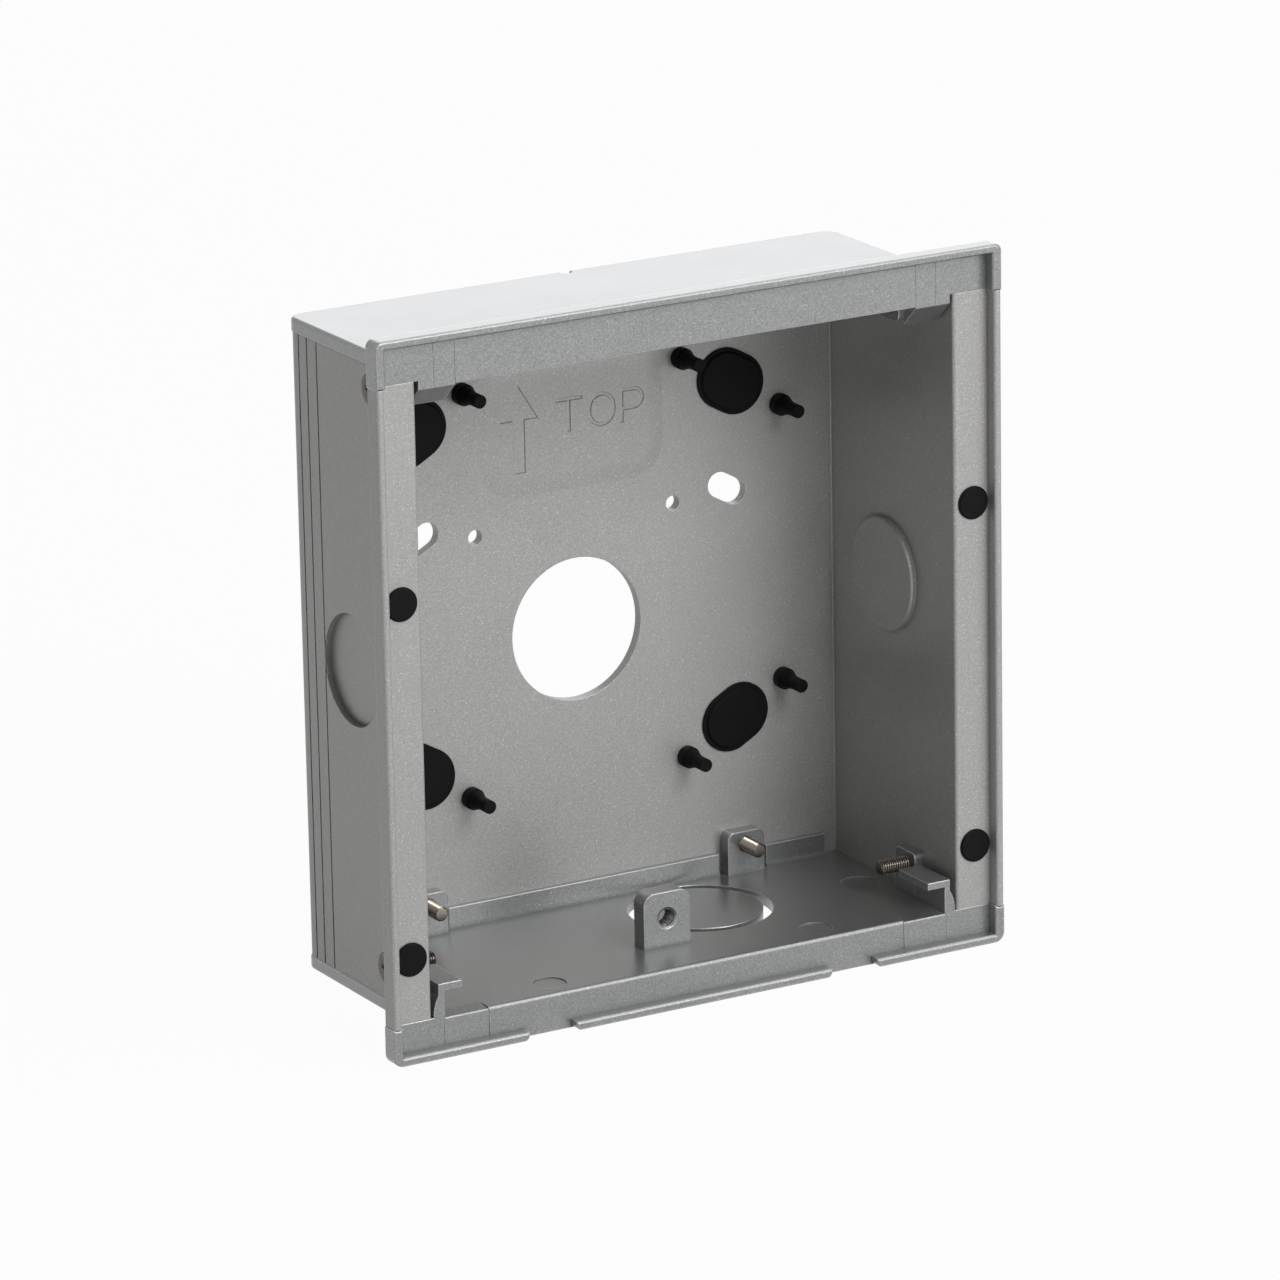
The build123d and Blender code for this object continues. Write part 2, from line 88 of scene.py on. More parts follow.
# How uneven each film is
PAINT_FILM = {"Patches per metre": 55.0, "Shading": 0.10, "Gloss change": 0.10}
RUBBER_FILM = {"Patches per metre": 400.0, "Shading": 0.8, "Roughness": 0.55, "Gloss change": 0.2}
BARE_FILM = {"Patches per metre": 1500.0, "Shading": 0.25, "Roughness": 0.26, "Gloss change": 0.15}

# Fine relief of the paint and of the rubber, and the grain of bare metal
PEEL = {"Scale": 1400.0, "Detail": 2.0}
PEEL_HEIGHT = 0.0001
PITS = {"Scale": 4000.0, "Detail": 3.0}
PIT_BUMP = {"Strength": 0.25, "Distance": 0.0001}
BARE_BUMP = {"Strength": 0.10, "Distance": 0.00005}

# How strongly the paint under the coat and the rubber mirror, and how rough the paint's coat is
PAINT_SPECULAR, RUBBER_SPECULAR = 0.25, 0.1
COAT_ROUGHNESS = 0.25

# Slant at which the flakes start to calm and at which they are calm, where 1 is edge-on
SLANT_START, SLANT_END = 0.45, 0.70
CALM_SHARE = 0.15

# Share of the paint's metal that still shows in an inner corner
CORNER_METAL = 0.2

# Openness below which a spot counts as an inner corner, and above which it is free
CORNER_OPENNESS, FREE_OPENNESS = 0.75, 0.98

# Agreement of the softened and the true normal beside an edge and on it
EDGE_SIDE, EDGE_TOP = 0.98, 0.80

# Darkening of a screw's head, and painted shade on the mouth of its cross recess
HEAD_DARKNESS, MOUTH_SHADE = 0.75, 0.9

# Width of a screw head's softened edge against its radius, and the recess's floor against its mouth
HEAD_EDGE, RECESS_FLOOR = 0.03, 0.72

# Share of a thread's half pitch that its flat crest takes, and the share that its slope takes
CREST_SHARE, SLOPE_SHARE = 0.12, 0.76

# Sides of the tapped thread, and rows of points in each turn of either thread
TAPPED_SEGMENTS = 40
SCREW_ROWS, TAPPED_ROWS = 8, 10

# Arrow: half the width of its barbs and of its shaft, and the height of its neck
BARB_HALF, SHAFT_HALF, ARROW_NECK = 0.0050, 0.00155, 0.0425

# Marked area on the back wall: its lower left and upper right corner, and the radius of its corners
MARKED_AREA = ((-0.0196, 0.0293), (0.0189, 0.0515))
MARKED_CORNER = 0.004
FEATHER_STEPS = 10

# Softboxes, which face the spot below: name, place, width, the setting with its power, and colour
LIT_SPOT = (0.0, 0.03, 0.0)
WHITE = (1.0, 1.0, 1.0)
PALE_BLUE = (0.94, 0.955, 1.0)
SOFTBOXES = (
    ("softbox_top", (0.8, -0.5, 1.35), 0.8, "top_lamp", WHITE),
    ("softbox_key", (0.3, -1.45, 1.1), 0.8, "key_lamp", WHITE),
    ("softbox_front", (0.85, -1.6, 0.15), 1.0, "front_lamp", WHITE),
    ("softbox_back", (0.85, 1.45, 0.6), 1.0, "back_lamp", PALE_BLUE),
)

# Floor: half its width, its colour, and the share of white that it gives where nothing shades it
FLOOR_HALF = 4.0
FLOOR_COLOUR = (0.9, 0.9, 0.9, 1.0)
FLOOR_ROUGHNESS = 0.8
FLOOR_GLOW = 0.96


class BackBoxFinish(bpy.types.PropertyGroup):
    """Colours and grain of the paint, the rubber and the plating"""

    extrusion_colour: FloatVectorProperty(
        name="Extrusion", description="Silver-grey paint on the extruded body",
        subtype="COLOR", size=4, default=(0.415, 0.4115, 0.4035, 1.0), min=0.0, max=1.0,
    )
    casting_colour: FloatVectorProperty(
        name="Casting", description="Silver-grey paint on the two cast caps",
        subtype="COLOR", size=4, default=(0.278, 0.284, 0.282, 1.0), min=0.0, max=1.0,
    )
    rubber_colour: FloatVectorProperty(
        name="Rubber", description="Black of the plugs and pins",
        subtype="COLOR", size=4, default=(0.006, 0.006, 0.0065, 1.0), min=0.0, max=1.0,
    )
    nickel_colour: FloatVectorProperty(
        name="Nickel", description="Warm plating of the screws",
        subtype="COLOR", size=4, default=(0.36, 0.32, 0.275, 1.0), min=0.0, max=1.0,
    )
    tapped_colour: FloatVectorProperty(
        name="Tapped metal", description="Cut aluminium of the thread in the centre tab",
        subtype="COLOR", size=4, default=(0.30, 0.30, 0.295, 1.0), min=0.0, max=1.0,
    )
    # Painted shade: darkens bare metal by the darkening attribute, in thread roots and the cross
    # recess, and darkens the screw head
    oil_shade: FloatProperty(
        name="Oil shade", description="How dark bare metal is where oil stays on it",
        default=0.85, min=0.0, max=1.0,
    )
    flake_size: FloatProperty(
        name="Flake size", description="Width of one metal flake in the paint",
        unit="LENGTH", default=0.00022, min=0.0001, max=0.002,
    )
    flake_contrast: FloatProperty(
        name="Flake contrast", description="How much lighter or darker one flake is than the next",
        default=0.24, min=0.0, max=1.0,
    )
    sparkle: FloatProperty(
        name="Sparkle", description="How much lighter the rare bright flakes are",
        default=0.65, min=0.0, max=3.0,
    )
    flake_lean: FloatProperty(
        name="Flake lean", description="How far the flakes lean out of the surface",
        default=0.08, min=0.0, max=1.0,
    )
    # Painted shade: inner corners are darkened in the paint's colour; these set how far that painted
    # shade reaches and how dark it is
    corner_reach: FloatProperty(
        name="Corner reach", description="How far the shade of an inner corner reaches",
        unit="LENGTH", default=0.0012, min=0.0, max=0.01,
    )
    corner_shade: FloatProperty(
        name="Corner shade", description="How dark the inner corners are",
        default=0.4, min=0.0, max=1.0,
    )
    edge_round: FloatProperty(
        name="Edge round", description="Radius of the softened edges of the extrusion and the rubber",
        unit="LENGTH", default=0.0003, min=0.0, max=0.002,
    )
    casting_round: FloatProperty(
        name="Casting edge round", description="Radius of the softened edges of the castings",
        unit="LENGTH", default=0.00045, min=0.0, max=0.002,
    )


class BackBoxScrews(bpy.types.PropertyGroup):
    """Sizes of the countersunk machine screws"""

    pitch: FloatProperty(
        name="Pitch", description="Distance from one thread crest to the next",
        unit="LENGTH", default=0.0006, min=0.0003, max=0.002,
    )
    thread_depth: FloatProperty(
        name="Thread depth", description="Depth of the thread under its crests",
        unit="LENGTH", default=0.00035, min=0.0, max=0.001,
    )
    shank_radius: FloatProperty(
        name="Shank radius", description="Radius over the thread's crests",
        unit="LENGTH", default=0.00175, min=0.001, max=0.003,
    )
    recess_span: FloatProperty(
        name="Recess span", description="Length of each arm pair of the cross recess",
        unit="LENGTH", default=0.0040, min=0.001, max=0.006,
    )
    recess_width: FloatProperty(
        name="Recess width", description="Width of an arm of the cross recess",
        unit="LENGTH", default=0.0009, min=0.0003, max=0.002,
    )
    recess_depth: FloatProperty(
        name="Recess depth", description="Depth of the cross recess",
        unit="LENGTH", default=0.0011, min=0.0003, max=0.002,
    )
    segments: IntProperty(name="Segments", description="Sides of a screw", default=36, min=12, max=96)


class BackBoxTapping(bpy.types.PropertyGroup):
    """Thread in the centre tab on the floor"""

    core_radius: FloatProperty(
        name="Core radius", description="Radius of the hole in the tab",
        unit="LENGTH", default=0.0021, min=0.001, max=0.004,
    )
    pitch: FloatProperty(
        name="Pitch", description="Distance from one turn to the next",
        unit="LENGTH", default=0.0008, min=0.0003, max=0.002,
    )
    root: FloatProperty(
        name="Root", description="How far the thread's metal reaches behind the hole's wall",
        unit="LENGTH", default=0.00005, min=0.0, max=0.001,
    )
    ridge: FloatProperty(
        name="Ridge", description="How far the turns stand into the hole",
        unit="LENGTH", default=0.0003, min=0.0, max=0.001,
    )
    front: FloatProperty(
        name="Front", description="Depth at which the thread starts, behind the tab's countersink",
        unit="LENGTH", default=0.0176, min=0.0, max=0.05,
    )
    back: FloatProperty(
        name="Back", description="Depth at which the thread ends",
        unit="LENGTH", default=0.0213, min=0.0, max=0.05,
    )
    height: FloatProperty(
        name="Height", description="Height of the hole in the box's frame",
        unit="LENGTH", default=-0.0663, min=-0.08, max=0.08,
    )


class BackBoxMarks(bpy.types.PropertyGroup):
    """Arrow and word sunk into the back wall"""

    wall_depth: FloatProperty(
        name="Wall depth", description="Depth of the back wall's inner face behind the front frame",
        unit="LENGTH", default=0.0555, min=0.0, max=0.1,
    )
    sink: FloatProperty(
        name="Sink", description="Depth of the marks",
        unit="LENGTH", default=0.00022, min=0.0, max=0.001,
    )
    draft: FloatProperty(
        name="Draft", description="How much narrower the marks are at their floor, on each side",
        unit="LENGTH", default=0.00020, min=0.0, max=0.001,
    )
    edge_round: FloatProperty(
        name="Edge round", description="Radius of the marks' softened edges",
        unit="LENGTH", default=0.00005, min=0.0, max=0.001,
    )
    # Painted shade: the marks' side walls get a darker copy of the paint
    wall_shade: FloatProperty(
        name="Wall shade", description="How much darker the marks' side walls are",
        default=0.4, min=0.0, max=1.0,
    )
    root: FloatProperty(
        name="Root", description="How far under the wall's surface the marked face runs out",
        unit="LENGTH", default=0.00005, min=0.0, max=0.001,
    )
    foot: FloatProperty(
        name="Foot", description="How far the marked face's back lies inside the wall",
        unit="LENGTH", default=0.0010, min=0.0, max=0.002,
    )
    feather: FloatProperty(
        name="Feather", description="Width over which the marked face runs out into the wall",
        unit="LENGTH", default=0.0062, min=0.001, max=0.02,
    )
    stroke: FloatProperty(
        name="Stroke", description="Width of a letter's stroke",
        unit="LENGTH", default=0.0009, min=0.0002, max=0.002,
    )
    letter_foot: FloatProperty(
        name="Letter foot", description="Height of the middle of the letters' lowest strokes",
        unit="LENGTH", default=0.0386, min=-0.05, max=0.06,
    )
    letter_height: FloatProperty(
        name="Letter height", description="Height of the letters between the middles of their strokes",
        unit="LENGTH", default=0.0071, min=0.002, max=0.02,
    )
    arrow_x: FloatProperty(
        name="Arrow place", description="Place of the arrow's middle",
        unit="LENGTH", default=-0.0139, min=-0.06, max=0.06,
    )
    arrow_foot: FloatProperty(
        name="Arrow foot", description="Height of the arrow's lower end",
        unit="LENGTH", default=0.0303, min=-0.06, max=0.06,
    )
    arrow_tip: FloatProperty(
        name="Arrow tip", description="Height of the arrow's point",
        unit="LENGTH", default=0.0507, min=-0.06, max=0.06,
    )


class BackBoxStage(bpy.types.PropertyGroup):
    """Camera and lamps"""

    lens: FloatProperty(
        name="Lens", description="Focal length on a 36 mm sensor, in millimetres",
        default=220.62, min=10.0,
    )
    distance: FloatProperty(
        name="Distance", description="Camera distance from the front frame's middle",
        unit="LENGTH", default=1.72515, min=0.1,
    )
    heading: FloatProperty(
        name="Heading", description="Turn of the view from straight on, to the right",
        subtype="ANGLE", default=0.520973,
    )
    dip: FloatProperty(
        name="Dip", description="Downward tilt of the view", subtype="ANGLE", default=0.290944,
    )
    roll: FloatProperty(
        name="Roll", description="Turn of the picture", subtype="ANGLE", default=-0.018635,
    )
    aim_right: FloatProperty(
        name="Aim right", description="Sideways offset of the view's axis",
        unit="LENGTH", default=-0.013434,
    )
    aim_up: FloatProperty(
        name="Aim up", description="Upward offset of the view's axis",
        unit="LENGTH", default=0.002865,
    )
    top_lamp: FloatProperty(
        name="Top lamp", description="Power of the softbox above, in watts", default=4.0, min=0.0,
    )
    key_lamp: FloatProperty(
        name="Key lamp", description="Power of the softbox high in front on the right, in watts",
        default=17.0, min=0.0,
    )
    front_lamp: FloatProperty(
        name="Front lamp", description="Power of the softbox low in front, in watts",
        default=7.2, min=0.0,
    )
    back_lamp: FloatProperty(
        name="Back lamp", description="Power of the softbox behind, in watts", default=3.7, min=0.0,
    )
    room_light: FloatProperty(
        name="Room light", description="Strength of the even light from the room",
        default=0.05, min=0.0,
    )
    mirrored_room: FloatProperty(
        name="Mirrored room", description="How bright the white surroundings show in the metal",
        default=0.80, min=0.0, max=1.0,
    )


def put(tree, kind, inputs=None, **settings):
    """Add a shader node, set its settings, and give each named input a value or a link."""
    made = tree.nodes.new(kind)
    for name, value in settings.items():
        setattr(made, name, value)
    for name, value in (inputs or {}).items():
        if isinstance(value, bpy.types.NodeSocket):
            tree.links.new(value, made.inputs[name])
        else:
            made.inputs[name].default_value = value
    return made


def new_group(name, inputs, outputs):
    """Start a shader node group with these sockets. Return its tree, its input and its output node."""
    group = bpy.data.node_groups.new(name, "ShaderNodeTree")
    for socket, kind, value in inputs:
        made = group.interface.new_socket(socket, in_out="INPUT", socket_type=kind)
        if value is not None:
            made.default_value = value
    for socket, kind in outputs:
        group.interface.new_socket(socket, in_out="OUTPUT", socket_type=kind)
    return group, group.nodes.new("NodeGroupInput"), group.nodes.new("NodeGroupOutput")


def metallic_flakes():
    """Group: small flakes, each a little lighter or darker than the next and leaning its own way."""
    group, given, result = new_group(
        "Metallic flakes",
        [
            ("Position", "NodeSocketVector", None),
            ("Normal", "NodeSocketVector", None),
            ("Flakes per metre", "NodeSocketFloat", 2800.0),
            ("Contrast", "NodeSocketFloat", 0.16),
            ("Sparkle", "NodeSocketFloat", 0.8),
            ("Lean", "NodeSocketFloat", 0.1),
        ],
        [("Brightness", "NodeSocketFloat"), ("Normal", "NodeSocketVector")],
    )
    cells = put(group, "ShaderNodeTexVoronoi", {
        "Vector": given.outputs["Position"], "Scale": given.outputs["Flakes per metre"],
    })
    parts = put(group, "ShaderNodeSeparateColor", {"Color": cells.outputs["Color"]})
    centred = put(group, "ShaderNodeMath", {0: parts.outputs["Red"], 1: 0.5}, operation="SUBTRACT")
    scaled = put(group, "ShaderNodeMath", {
        0: centred.outputs[0], 1: given.outputs["Contrast"], 2: 1.0,
    }, operation="MULTIPLY_ADD")
    rare = put(group, "ShaderNodeMapRange", {
        "Value": parts.outputs["Green"], "From Min": 0.95, "From Max": 1.0,
    })
    bright = put(group, "ShaderNodeMath", {
        0: rare.outputs[0], 1: given.outputs["Sparkle"], 2: scaled.outputs[0],
    }, operation="MULTIPLY_ADD")
    leaning = put(group, "ShaderNodeVectorMath", {
        0: cells.outputs["Color"], 1: (0.5, 0.5, 0.5),
    }, operation="SUBTRACT")
    amount = put(group, "ShaderNodeVectorMath", {
        0: leaning.outputs[0], "Scale": given.outputs["Lean"],
    }, operation="SCALE")
    leaned = put(group, "ShaderNodeVectorMath", {
        0: amount.outputs[0], 1: given.outputs["Normal"],
    }, operation="ADD")
    unit = put(group, "ShaderNodeVectorMath", {0: leaned.outputs[0]}, operation="NORMALIZE")
    group.links.new(bright.outputs[0], result.inputs["Brightness"])
    group.links.new(unit.outputs[0], result.inputs["Normal"])
    return group


def uneven_film():
    """Group: slow patches in a coat, which shade it and change its gloss."""
    group, given, result = new_group(
        "Uneven film",
        [
            ("Position", "NodeSocketVector", None),
            ("Patches per metre", "NodeSocketFloat", 60.0),
            ("Shading", "NodeSocketFloat", 0.05),
            ("Roughness", "NodeSocketFloat", 0.4),
            ("Gloss change", "NodeSocketFloat", 0.08),
        ],
        [
            ("Brightness", "NodeSocketFloat"),
            ("Roughness", "NodeSocketFloat"),
            ("Height", "NodeSocketFloat"),
        ],
    )
    patches = put(group, "ShaderNodeTexNoise", {
        "Vector": given.outputs["Position"], "Scale": given.outputs["Patches per metre"],
        "Detail": 4.0, "Roughness": 0.6,
    })
    centred = put(group, "ShaderNodeMath", {0: patches.outputs["Fac"], 1: 0.5}, operation="SUBTRACT")
    shade = put(group, "ShaderNodeMath", {
        0: centred.outputs[0], 1: given.outputs["Shading"], 2: 1.0,
    }, operation="MULTIPLY_ADD")
    gloss = put(group, "ShaderNodeMath", {
        0: centred.outputs[0], 1: given.outputs["Gloss change"], 2: given.outputs["Roughness"],
    }, operation="MULTIPLY_ADD")
    group.links.new(shade.outputs[0], result.inputs["Brightness"])
    group.links.new(gloss.outputs[0], result.inputs["Roughness"])
    group.links.new(patches.outputs["Fac"], result.inputs["Height"])
    return group


def corner_shade():
    """Group: tell outer edges from inner corners, paint a highlight on the first and paint shade into
    the second.
    """
    group, given, result = new_group(
        "Corner shade",
        [
            ("Openness", "NodeSocketFloat", 1.0),
            ("Soft normal", "NodeSocketVector", None),
            ("True normal", "NodeSocketVector", None),
            ("Shading", "NodeSocketFloat", 0.3),
            ("Edge light", "NodeSocketFloat", 0.5),
        ],
        [
            ("Brightness", "NodeSocketFloat"),
            ("Outer", "NodeSocketFloat"),
            ("Normal", "NodeSocketVector"),
        ],
    )
    outer = put(group, "ShaderNodeMapRange", {
        "Value": given.outputs["Openness"], "From Min": CORNER_OPENNESS, "From Max": FREE_OPENNESS,
    })
    mixed = put(group, "ShaderNodeMix", {
        "Factor": outer.outputs[0], 4: given.outputs["True normal"], 5: given.outputs["Soft normal"],
    }, data_type="VECTOR")
    unit = put(group, "ShaderNodeVectorMath", {0: mixed.outputs[1]}, operation="NORMALIZE")
    alike = put(group, "ShaderNodeVectorMath", {
        0: unit.outputs[0], 1: given.outputs["True normal"],
    }, operation="DOT_PRODUCT")
    edge = put(group, "ShaderNodeMapRange", {
        "Value": alike.outputs["Value"], "From Min": EDGE_SIDE, "From Max": EDGE_TOP,
    })
    closed = put(group, "ShaderNodeMath", {0: 1.0, 1: given.outputs["Openness"]}, operation="SUBTRACT")
    shade = put(group, "ShaderNodeMath", {
        0: closed.outputs[0], 1: given.outputs["Shading"],
    }, operation="MULTIPLY")
    shaded = put(group, "ShaderNodeMath", {0: 1.0, 1: shade.outputs[0]}, operation="SUBTRACT")
    bright = put(group, "ShaderNodeMath", {
        0: edge.outputs[0], 1: given.outputs["Edge light"], 2: shaded.outputs[0],
    }, operation="MULTIPLY_ADD")
    group.links.new(bright.outputs[0], result.inputs["Brightness"])
    group.links.new(outer.outputs[0], result.inputs["Outer"])
    group.links.new(unit.outputs[0], result.inputs["Normal"])
    return group


def put_group(tree, name, build, inputs):
    """Add a node for the named group, which is built once, and give its inputs values or links."""
    group = bpy.data.node_groups.get(name) or build()
    return put(tree, "ShaderNodeGroup", inputs, node_tree=group)


def new_material(name):
    """Start a material and return it with its tree and its Principled shader."""
    material = bpy.data.materials.new(name)
    material.use_nodes = True
    tree = material.node_tree
    tree.nodes.clear()
    shader = tree.nodes.new("ShaderNodeBsdfPrincipled")
    surface = tree.nodes.new("ShaderNodeOutputMaterial")
    tree.links.new(shader.outputs["BSDF"], surface.inputs["Surface"])
    return material, tree, shader


def tint(tree, colour, *brightness):
    """Multiply a colour by one or more brightness sockets."""
    factor = brightness[0]
    for other in brightness[1:]:
        factor = put(tree, "ShaderNodeMath", {0: factor, 1: other}, operation="MULTIPLY").outputs[0]
    tinted = put(tree, "ShaderNodeVectorMath", {
        0: tuple(colour)[:3], "Scale": factor,
    }, operation="SCALE")
    return tinted.outputs[0]


def metallic_paint(
    name, colour, finish, edge_round, grain, roughness, orange_peel, metal, coat, painted_edge_highlight,
):
    """Make the silver-grey paint: flakes under a satin coat, soft edges, a slight orange peel, painted
    shade in inner corners and a painted highlight along outer edges.
    """
    material, tree, shader = new_material(name)
    place = put(tree, "ShaderNodeTexCoord").outputs["Object"]
    soft_edge = put(tree, "ShaderNodeBevel", {"Radius": edge_round}, samples=6)
    openness = put(tree, "ShaderNodeAmbientOcclusion", {
        "Distance": finish.corner_reach,
    }, samples=4, only_local=True)
    corner = put_group(tree, "Corner shade", corner_shade, {
        "Openness": openness.outputs["AO"], "Soft normal": soft_edge.outputs["Normal"],
        "True normal": put(tree, "ShaderNodeNewGeometry").outputs["Normal"],
        "Shading": finish.corner_shade, "Edge light": painted_edge_highlight,
    })
    slant = put(tree, "ShaderNodeLayerWeight", {"Blend": 0.5})
    calm = put(tree, "ShaderNodeMapRange", {
        "Value": slant.outputs["Facing"], "From Min": SLANT_START, "From Max": SLANT_END,
        "To Min": 1.0, "To Max": CALM_SHARE,
    })
    flakes = put_group(tree, "Metallic flakes", metallic_flakes, {
        "Position": place, "Normal": corner.outputs["Normal"],
        "Flakes per metre": 1 / (finish.flake_size * grain),
    })
    for socket, amount in (
        ("Contrast", finish.flake_contrast * grain),
        ("Sparkle", finish.sparkle),
        ("Lean", finish.flake_lean * grain),
    ):
        calmed = put(tree, "ShaderNodeMath", {0: calm.outputs[0], 1: amount}, operation="MULTIPLY")
        tree.links.new(calmed.outputs[0], flakes.inputs[socket])
    film = put_group(tree, "Uneven film", uneven_film, {
        "Position": place, "Roughness": roughness, **PAINT_FILM,
    })
    peel = put(tree, "ShaderNodeTexNoise", {"Vector": place, **PEEL})
    bump = put(tree, "ShaderNodeBump", {
        "Height": peel.outputs["Fac"], "Normal": flakes.outputs["Normal"],
        "Strength": orange_peel, "Distance": PEEL_HEIGHT,
    })
    dull = put(tree, "ShaderNodeMapRange", {
        "Value": corner.outputs["Outer"], "To Min": CORNER_METAL * metal, "To Max": metal,
    })
    # The corner group's brightness holds painted shade in inner corners and a painted highlight along
    # outer edges
    brightness = [part.outputs["Brightness"] for part in (flakes, film, corner)]
    tree.links.new(tint(tree, colour, *brightness), shader.inputs["Base Color"])
    tree.links.new(film.outputs["Roughness"], shader.inputs["Roughness"])
    tree.links.new(bump.outputs["Normal"], shader.inputs["Normal"])
    tree.links.new(dull.outputs[0], shader.inputs["Metallic"])
    shader.inputs["Specular IOR Level"].default_value = PAINT_SPECULAR
    shader.inputs["Coat Weight"].default_value = coat
    shader.inputs["Coat Roughness"].default_value = COAT_ROUGHNESS
    return material


def black_rubber(finish):
    """Make the matt black rubber, with a faint bloom and fine pits."""
    material, tree, shader = new_material("black_rubber")
    place = put(tree, "ShaderNodeTexCoord").outputs["Object"]
    soft_edge = put(tree, "ShaderNodeBevel", {"Radius": finish.edge_round}, samples=4)
    film = put_group(tree, "Uneven film", uneven_film, {"Position": place, **RUBBER_FILM})
    pits = put(tree, "ShaderNodeTexNoise", {"Vector": place, **PITS})
    bump = put(tree, "ShaderNodeBump", {
        "Height": pits.outputs["Fac"], "Normal": soft_edge.outputs["Normal"], **PIT_BUMP,
    })
    shaded = tint(tree, finish.rubber_colour, film.outputs["Brightness"])
    tree.links.new(shaded, shader.inputs["Base Color"])
    tree.links.new(film.outputs["Roughness"], shader.inputs["Roughness"])
    tree.links.new(bump.outputs["Normal"], shader.inputs["Normal"])
    shader.inputs["Specular IOR Level"].default_value = RUBBER_SPECULAR
    return material


def threaded_metal(name, colour, finish):
    """Make bright metal, darkened by the darkening attribute: painted shade in a thread's roots and a
    cross recess, and a darker screw head.
    """
    material, tree, shader = new_material(name)
    place = put(tree, "ShaderNodeTexCoord").outputs["Object"]
    film = put_group(tree, "Uneven film", uneven_film, {"Position": place, **BARE_FILM})
    darkness = put(tree, "ShaderNodeAttribute", attribute_name=DARKENING_MASK)
    kept_brightness = put(tree, "ShaderNodeMapRange", {
        "Value": darkness.outputs["Fac"], "To Min": 1.0, "To Max": 1.0 - finish.oil_shade,
    })
    bump = put(tree, "ShaderNodeBump", {"Height": film.outputs["Height"], **BARE_BUMP})
    shaded = tint(tree, colour, film.outputs["Brightness"], kept_brightness.outputs[0])
    tree.links.new(shaded, shader.inputs["Base Color"])
    tree.links.new(film.outputs["Roughness"], shader.inputs["Roughness"])
    tree.links.new(bump.outputs["Normal"], shader.inputs["Normal"])
    shader.inputs["Metallic"].default_value = 1.0
    return material


def dress(target, material):
    """Give an object one material."""
    target.data.materials.clear()
    target.data.materials.append(material)


def new_piece(name, mesh_data, material, crease=math.radians(35)):
    """Turn a bmesh into a piece of the box, smooth except across its creases."""
    bmesh.ops.recalc_face_normals(mesh_data, faces=mesh_data.faces)
    for face in mesh_data.faces:
        face.smooth = True
    for edge in mesh_data.edges:
        edge.smooth = edge.calc_face_angle(0.0) < crease
    mesh = bpy.data.meshes.new(name)
    mesh_data.to_mesh(mesh)
    mesh_data.free()
    piece = bpy.data.objects.new(name, mesh)
    bpy.context.scene.collection.objects.link(piece)
    dress(piece, material)
    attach(piece, "root")
    return piece


def add_ring(mesh_data, points, darkness=None):
    """Add vertices at these points and return them. Darkness says how much each one is darkened, from 0
    to 1.
    """
    ring = [mesh_data.verts.new(point) for point in points]
    if darkness:
        layer = mesh_data.verts.layers.float[DARKENING_MASK]
        for vertex, share in zip(ring, darkness):
            vertex[layer] = share
    return ring


def thread_turn(radius, depth, height, pitch, segments, limit):
    """Return one ring of a thread around Z and how deep in the thread each point lies.

    The ring lies at this height. The thread's roots lie this far inside its crests, or outside
    them where the depth is negative. No point lies further out than the limit.
    """
    points = []
    roots = []
    for index in range(segments):
        turn = index / segments
        root = thread_wave(height / pitch + turn)
        reach = min(radius - depth * root, limit)
        points.append((reach * math.cos(math.tau * turn), reach * math.sin(math.tau * turn), height))
        roots.append(root)
    return points, roots


def join_rings(mesh_data, first, second, paint_index=0):
    """Join two rings of vertices with a band of faces in one of the piece's paints."""
    count = len(first)
    for index in range(count):
        after = (index + 1) % count
        face = mesh_data.faces.new((first[index], first[after], second[after], second[index]))
        face.material_index = paint_index


def ring_edges(mesh_data, rings):
    """Return the edges along these closed rings of vertices, and add those that are missing."""
    edges = []
    for ring in rings:
        for index, vertex in enumerate(ring):
            pair = (vertex, ring[(index + 1) % len(ring)])
            edges.append(mesh_data.edges.get(pair) or mesh_data.edges.new(pair))
    return edges


def ring_points(radius, height, segments):
    """Return a ring of points around Z."""
    points = []
    for index in range(segments):
        angle = math.tau * index / segments
        points.append((radius * math.cos(angle), radius * math.sin(angle), height))
    return points


def thread_wave(phase):
    """Return how deep the thread is at this share of a turn: 0 on the flat crest and 1 at the root."""
    slope = abs((phase % 1.0) * 2 - 1)
    return min(max((slope - CREST_SHARE) / SLOPE_SHARE, 0.0), 1.0)


def cross_outline(span, width, height):
    """Return the twelve corners of the cross recess, in order around Z."""
    long_half, short_half = span / 2, width / 2
    arm = [(long_half, -short_half), (long_half, short_half), (short_half, short_half)]
    points = []
    for quarter in range(4):
        turn = Matrix.Rotation(math.radians(90) * quarter, 3, "Z")
        points += [turn @ Vector((x, y, height)) for x, y in arm]
    return points


